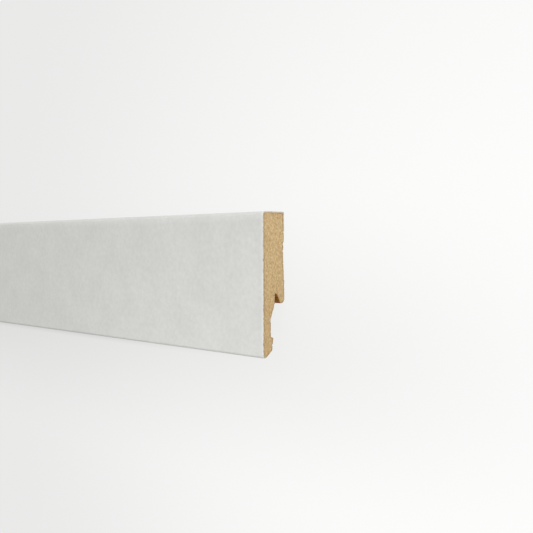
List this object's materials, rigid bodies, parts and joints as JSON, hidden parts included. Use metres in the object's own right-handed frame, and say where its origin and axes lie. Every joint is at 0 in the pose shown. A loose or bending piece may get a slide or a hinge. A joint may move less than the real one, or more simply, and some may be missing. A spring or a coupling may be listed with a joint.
{
  "type": "skirting board length",
  "caption": "Foil-wrapped fibreboard skirting board length with a moulded back that hooks over wall clips.",
  "frame": {"origin": "under the middle of the length and of the height, in the plane of the back that meets the wall", "axes": "+X along the length, towards the sawn end that the picture shows; +Y towards the top edge of the board as it hangs on a wall; +Z out of the decorative face"},
  "size_m": [2.4, 0.058, 0.012],
  "materials": {
    "fibreboard": "bare medium-density fibreboard, moulded and sawn, matt",
    "decor_foil": "pale grey-white decor foil with a fine satin emboss"
  },
  "bodies": {
    "root": {"fibreboard_core": "fibreboard", "decor_foil": "decor_foil"}
  },
  "joints": []
}
